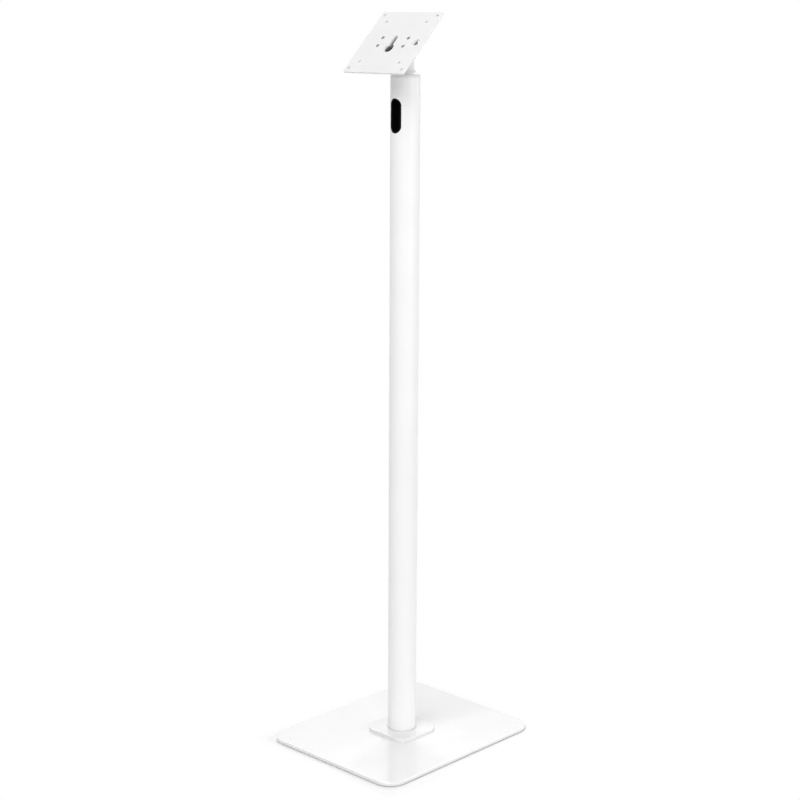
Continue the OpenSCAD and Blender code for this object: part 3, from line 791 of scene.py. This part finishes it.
# %% Lock nut
NUT_H, NUT_FLATS, NUT_CHAMFER, CONE_ROOM = 6.5, 13.0, 0.7, 0.1
COLLAR_R, COLLAR_BREAK, COLLAR_SUNK = 5.5, 0.5, 1.0
nut_low, nut_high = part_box("lock_nut")
nut_from, nut_to = -nut_high.x / mm, -nut_low.x / mm
nut_top = nut_from + NUT_H
flats_r = NUT_FLATS / 2
cone_r = flats_r / math.cos(math.pi / 6) + CONE_ROOM
nut = hexagon_rod("lock_nut_zinc", NUT_FLATS, NUT_H, nut_from + NUT_H / 2)
cone = turned("nut_cone", [
    (0, nut_from), (flats_r, nut_from), (cone_r, nut_from + NUT_CHAMFER),
    (cone_r, nut_top - NUT_CHAMFER), (flats_r, nut_top), (0, nut_top)], steps=96)
cut(nut, cone, "INTERSECT")
collar_from = nut_from + COLLAR_SUNK
collar = turned("nut_collar", [
    (0, collar_from), (COLLAR_R, collar_from), (COLLAR_R, nut_to - COLLAR_BREAK),
    (COLLAR_R - COLLAR_BREAK, nut_to), (0, nut_to)], steps=72)
cut(nut, collar, "UNION")
cut(nut, rod("nut_bore", BOLT_HOLE, 2 * (nut_to - nut_from), sides=72, at=(0, 0, nut_from)))
hand_over(moved(nut, on_left), "head", "zinc_steel", "lock_nut")

# %% [markdown]
# ## How a finish is made
#
# No real surface is one flat colour. Every finish here has three layers of noise, each at the size it has
# on the real thing: clouds in the colour, grain in the gloss and a skin that bump raises. All of them use
# Object coordinates, which stay with the piece when it moves.

# %% Finish helpers
CLOUD_LOW, CLOUD_HIGH = 0.3, 0.7


def noise(tree, place, size, detail, stretch=(1, 1, 1)):
    """Noise whose cells are about size millimetres across."""
    mapping = tree.nodes.new("ShaderNodeMapping")
    mapping.inputs["Scale"].default_value = stretch
    texture = tree.nodes.new("ShaderNodeTexNoise")
    texture.inputs["Scale"].default_value = 1 / (size * mm)
    texture.inputs["Detail"].default_value = detail
    tree.links.new(place, mapping.inputs["Vector"])
    tree.links.new(mapping.outputs["Vector"], texture.inputs["Vector"])
    return texture.outputs["Fac"]


def spread(tree, value, low, high, start=CLOUD_LOW, stop=CLOUD_HIGH):
    """Maps a value to the range from low to high."""
    node = tree.nodes.new("ShaderNodeMapRange")
    for socket, number in (("From Min", start), ("From Max", stop), ("To Min", low), ("To Max", high)):
        node.inputs[socket].default_value = number
    tree.links.new(value, node.inputs["Value"])
    return node.outputs["Result"]


def tones(tree, value, dark, light):
    """Blends between two colours by a value."""
    ramp = tree.nodes.new("ShaderNodeValToRGB")
    for stop, position, colour in zip(ramp.color_ramp.elements, (CLOUD_LOW, CLOUD_HIGH), (dark, light)):
        stop.position = position
        stop.color = (*colour, 1)
    tree.links.new(value, ramp.inputs["Fac"])
    return ramp.outputs["Color"]


def new_material(name):
    """Empty material with its shader and the object's own coordinates."""
    material = bpy.data.materials.new(name)
    material.use_nodes = True
    tree = material.node_tree
    place = tree.nodes.new("ShaderNodeTexCoord").outputs["Object"]
    return material, tree, tree.nodes["Principled BSDF"], place


def finish(name, dark, light, clouds, rough, grain, skin, raised, stretch=(1, 1, 1), **constants):
    """Material with clouds of colour, grain in its gloss and a raised skin, each a size and a detail."""
    material, tree, shader, place = new_material(name)
    colour = tones(tree, noise(tree, place, *clouds, stretch), dark, light)
    gloss = spread(tree, noise(tree, place, *grain), *rough)
    tree.links.new(colour, shader.inputs["Base Color"])
    tree.links.new(gloss, shader.inputs["Roughness"])
    bump = tree.nodes.new("ShaderNodeBump")
    bump.inputs["Strength"].default_value = 1.0
    bump.inputs["Distance"].default_value = raised * mm
    tree.links.new(noise(tree, place, *skin), bump.inputs["Height"])
    tree.links.new(bump.outputs["Normal"], shader.inputs["Normal"])
    for socket, number in constants.items():
        shader.inputs[socket.replace("_", " ")].default_value = number
    print(name, "from", tuple(round(v, 3) for v in dark), "to", tuple(round(v, 3) for v in light))
    return material


print("the ramp blends noise values from", CLOUD_LOW, "to", CLOUD_HIGH)

# %% [markdown]
# ## White powder coat
#
# Under soft light powder coat looks plain, but cured powder has a fine orange-peel skin a couple of
# millimetres from crest to crest, its gloss drifts a little, and dust dulls it here and there. The post is
# satin, the head a little duller, the base and its flange glossy under a clear coat, so they mirror the
# post. The one white paint gets a different whiteness on some pieces as painted light and shade: the post's
# is painted lighter, the head's and neck's darker, the flange's darker still as painted shade in front of
# the post, and the weld's grey as painted shade in the crease at the post's foot.

# %% Powder coats
PATCH, DRIFT, PEEL = (60, 4), (35, 5), (2.2, 2)
DUST = 0.025
SATIN, DULL, GLOSS = (0.29, 0.37), (0.34, 0.42), (0.13, 0.19)
CLEAR = {"Coat_Weight": 1.0, "Coat_Roughness": 0.12}


def powder_coat(name, white, rough, peel, **constants):
    """White coat: its whiteness, the range of its roughness and the depth of its orange peel."""
    dusty = white - DUST
    return finish(name, (dusty,) * 3, (white,) * 3, PATCH, rough, DRIFT, PEEL, peel, **constants)


# The post's coat is painted a little lighter than the other copies of the white paint, as painted light.
coat = powder_coat("white_powder_coat", white=0.93, rough=SATIN, peel=0.006)
# The head's and the neck's coat is painted darker, as painted shade.
head_coat_painted_shade = powder_coat("white_satin_coat_painted_shade", white=0.86, rough=DULL, peel=0.006)
base_coat = powder_coat("white_gloss_coat", white=0.88, rough=GLOSS, peel=0.003, **CLEAR)
# The flange's coat is painted darker still, as painted shade for its top in front of the post.
flange_coat_painted_shade = powder_coat("white_flange_coat_painted_shade", white=0.82, rough=GLOSS, peel=0.003, **CLEAR)
# The weld's coat is painted grey, as painted shade in the crease at the post's foot.
weld_coat_painted_shade = powder_coat("weld_grey_painted_shade", white=0.55, rough=SATIN, peel=0.006)

# %% [markdown]
# ## Steel, rubber and plastic
#
# Zinc plate is a cloudy grey. The brackets have a dark phosphate skin with fine crystals, and the screws in
# the plate are a dull steel. Rubber is nearly black and matt. The tube's inside is painted nearly black and
# matt too, as painted shade for the dark inside of the post. The bush and the friction washers are a pale
# plastic. Sizes and raised heights are in millimetres, and the second number of each layer is its detail.

# %% Steel, rubber and plastic
zinc = finish(
    "zinc_plate", dark=(0.34, 0.34, 0.35), light=(0.46, 0.46, 0.46), clouds=(4, 5),
    rough=(0.42, 0.56), grain=(1.2, 4), skin=(0.5, 2), raised=0.004, Metallic=1.0)
dark_steel = finish(
    "dark_phosphate", dark=(0.11, 0.11, 0.113), light=(0.2, 0.2, 0.205), clouds=(1.5, 5),
    rough=(0.42, 0.6), grain=(0.8, 3), skin=(0.3, 2), raised=0.006, Metallic=0.7)
screw_steel = finish(
    "dull_screw_steel", dark=(0.24, 0.24, 0.24), light=(0.36, 0.36, 0.36), clouds=(1.5, 4),
    rough=(0.38, 0.52), grain=(0.8, 3), skin=(0.3, 2), raised=0.004, Metallic=0.8)
rubber = finish(
    "black_rubber", dark=(0.002, 0.002, 0.002), light=(0.005, 0.005, 0.005), clouds=(8, 4),
    rough=(0.7, 0.9), grain=(3, 3), skin=(0.6, 2), raised=0.02, Specular_IOR_Level=0.12)
# The tube's inside is painted nearly black, as painted shade for the dark inside of the post.
inside_painted_shade = finish(
    "tube_inside_painted_shade", dark=(0.004, 0.004, 0.004), light=(0.012, 0.011, 0.01), clouds=(12, 5),
    rough=(0.7, 0.9), grain=(5, 3), skin=(1.5, 3), raised=0.02, stretch=(1, 1, 0.2),
    Specular_IOR_Level=0.15)
nylon = finish(
    "natural_nylon", dark=(0.78, 0.78, 0.76), light=(0.84, 0.84, 0.82), clouds=(6, 3),
    rough=(0.4, 0.52), grain=(2, 3), skin=(0.8, 2), raised=0.004)

# %% [markdown]
# ## Dressing every piece
#
# Each piece gets its finish by the record's slot, and a few have a finish of their own. The faces of the
# post's bore take a second material, painted nearly black as painted shade for the tube's dark inside.

# %% Dress every piece
INSIDE_REACH = 0.5
slot_of = {entry["node"]: entry["material_slot"] for entry in frame["record"]["subparts"]}
by_slot = {"white_coat": coat, "black_rubber": rubber, "zinc_steel": zinc, "black_steel": dark_steel,
           "natural_nylon": nylon}
own_finish = {base.name: base_coat, flange.name: flange_coat_painted_shade, weld.name: weld_coat_painted_shade, plate.name: head_coat_painted_shade,
              neck.name: head_coat_painted_shade, plate_screws.name: screw_steel}
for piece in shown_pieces():
    slot = piece.get("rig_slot") or slot_of[piece["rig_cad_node"]]
    material = own_finish.get(piece.name, by_slot[slot])
    if not piece.data.materials:
        piece.data.materials.append(None)
    for index in range(len(piece.data.materials)):
        piece.data.materials[index] = material

# The bore's faces take the near-black painted shade.
post.data.materials.append(inside_painted_shade)
inside_r = (BORE_R + INSIDE_REACH) * mm
inner_faces = [face for face in post.data.polygons if face.center.xy.length < inside_r]
for face in inner_faces:
    face.material_index = 1

# %% [markdown]
# ## The floor
#
# The stand is shown on seamless white paper. The floor is a wide pale sheet that is lit like any other
# surface. For the camera and for mirrors it also glows, so that it reads as white. The glow fades out close
# to the base, where the base's own thin shadow has to stay.

# %% Floor
GLOW_NEAR, GLOW_FADE = 0.1, 0.022
PAPER_W, PAPER_ROUGH, PAPER_SEEN, PAPER_BOUNCE = 60, 0.9, 0.92, 0.7


def worked(tree, operation, first, second=None):
    """Math node between two values, or a value and a number."""
    node = tree.nodes.new("ShaderNodeMath")
    node.operation = operation
    tree.links.new(first, node.inputs[0])
    if isinstance(second, (int, float)):
        node.inputs[1].default_value = second
    elif second is not None:
        tree.links.new(second, node.inputs[1])
    return node.outputs[0]


def seen_directly(tree):
    """One for rays from the camera, from mirrors and through glass, and zero for light that bounces."""
    path = tree.nodes.new("ShaderNodeLightPath").outputs
    seen = worked(tree, "MAXIMUM", path["Is Camera Ray"], path["Is Transmission Ray"])
    return worked(tree, "MAXIMUM", seen, path["Is Glossy Ray"])


def past(tree, coordinate, edge):
    """Square of how far a point lies beyond the base's edge on one axis."""
    beyond = worked(tree, "SUBTRACT", worked(tree, "ABSOLUTE", coordinate), edge)
    beyond = worked(tree, "MAXIMUM", beyond, 0.0)
    return worked(tree, "MULTIPLY", beyond, beyond)


clear_selection()
bpy.ops.mesh.primitive_plane_add(size=PAPER_W)
floor = named("studio_floor")
paper, tree, shader, place = new_material("studio_paper")
shader.inputs["Roughness"].default_value = PAPER_ROUGH
sides = tree.nodes.new("ShaderNodeSeparateXYZ")
tree.links.new(place, sides.inputs["Vector"])
past_x = past(tree, sides.outputs["X"], base_high.x)
past_y = past(tree, sides.outputs["Y"], base_high.y)
away = worked(tree, "ADD", past_x, past_y)
share = spread(tree, worked(tree, "SQRT", away), GLOW_NEAR, 1.0, 0.0, GLOW_FADE)
seen = seen_directly(tree)
paper_white = tones(tree, seen, (PAPER_BOUNCE,) * 3, (PAPER_SEEN,) * 3)
tree.links.new(paper_white, shader.inputs["Base Color"])
glow = tree.nodes.new("ShaderNodeEmission")
mix = tree.nodes.new("ShaderNodeMixShader")
tree.links.new(worked(tree, "MULTIPLY", share, seen), mix.inputs["Fac"])
tree.links.new(shader.outputs["BSDF"], mix.inputs[1])
tree.links.new(glow.outputs["Emission"], mix.inputs[2])
tree.links.new(mix.outputs["Shader"], tree.nodes["Material Output"].inputs["Surface"])
floor.data.materials.append(paper)
print("the floor's glow is full", GLOW_FADE / mm, "mm away from the base")

# %% [markdown]
# ## World and lamps
#
# The world is white to the camera and to mirrors, and gives only a weak light from all sides. The main
# light is a large softbox high in front, and one high behind draws the post's reflection on the glossy
# base. Smaller ones brighten the post's right side, its right edge and the side that faces the camera. All
# of them stand far off, so the post is lit evenly from top to bottom.

# %% World and lamps
AMBIENT = 0.25
AIM = Vector((0, 0, 0.5))
world = bpy.data.worlds.new("studio_world")
world.use_nodes = True
bpy.context.scene.world = world
tree = world.node_tree
sky = tree.nodes["Background"]
sky.inputs["Color"].default_value = (1, 1, 1, 1)
strength = spread(tree, seen_directly(tree), AMBIENT, 1.0, 0.0, 1.0)
tree.links.new(strength, sky.inputs["Strength"])


def softbox(name, at, size, watts):
    """Square area lamp that looks at the middle of the post."""
    lamp_data = bpy.data.lights.new(name, "AREA")
    lamp_data.shape = "SQUARE"
    lamp_data.size = size
    lamp_data.energy = watts
    lamp = bpy.data.objects.new(name, lamp_data)
    lamp.location = at
    lamp.rotation_euler = (AIM - Vector(at)).to_track_quat("-Z", "Y").to_euler()
    bpy.context.scene.collection.objects.link(lamp)
    print(name, size, "m wide,", watts, "W")


softbox("front_softbox", at=(0.9, -3.75, 5.1), size=4.2, watts=200)
softbox("rear_softbox", at=(-2.7, 2.9, 4.3), size=4.0, watts=148)
softbox("right_softbox", at=(5.0, 0.6, 1.1), size=2.6, watts=56)
softbox("back_softbox", at=(3.2, 4.1, 1.8), size=3.2, watts=55)
softbox("camera_softbox", at=(3.8, -3.6, 2.6), size=2.8, watts=56)

# %% [markdown]
# ## Colour and size
#
# The Standard view shows colours as they are written. The dressed model's box differs from the CAD
# model's box by less than half a millimetre, at the plate's rounded upper edge.

# %% Finish
bpy.context.scene.view_settings.view_transform = "Standard"
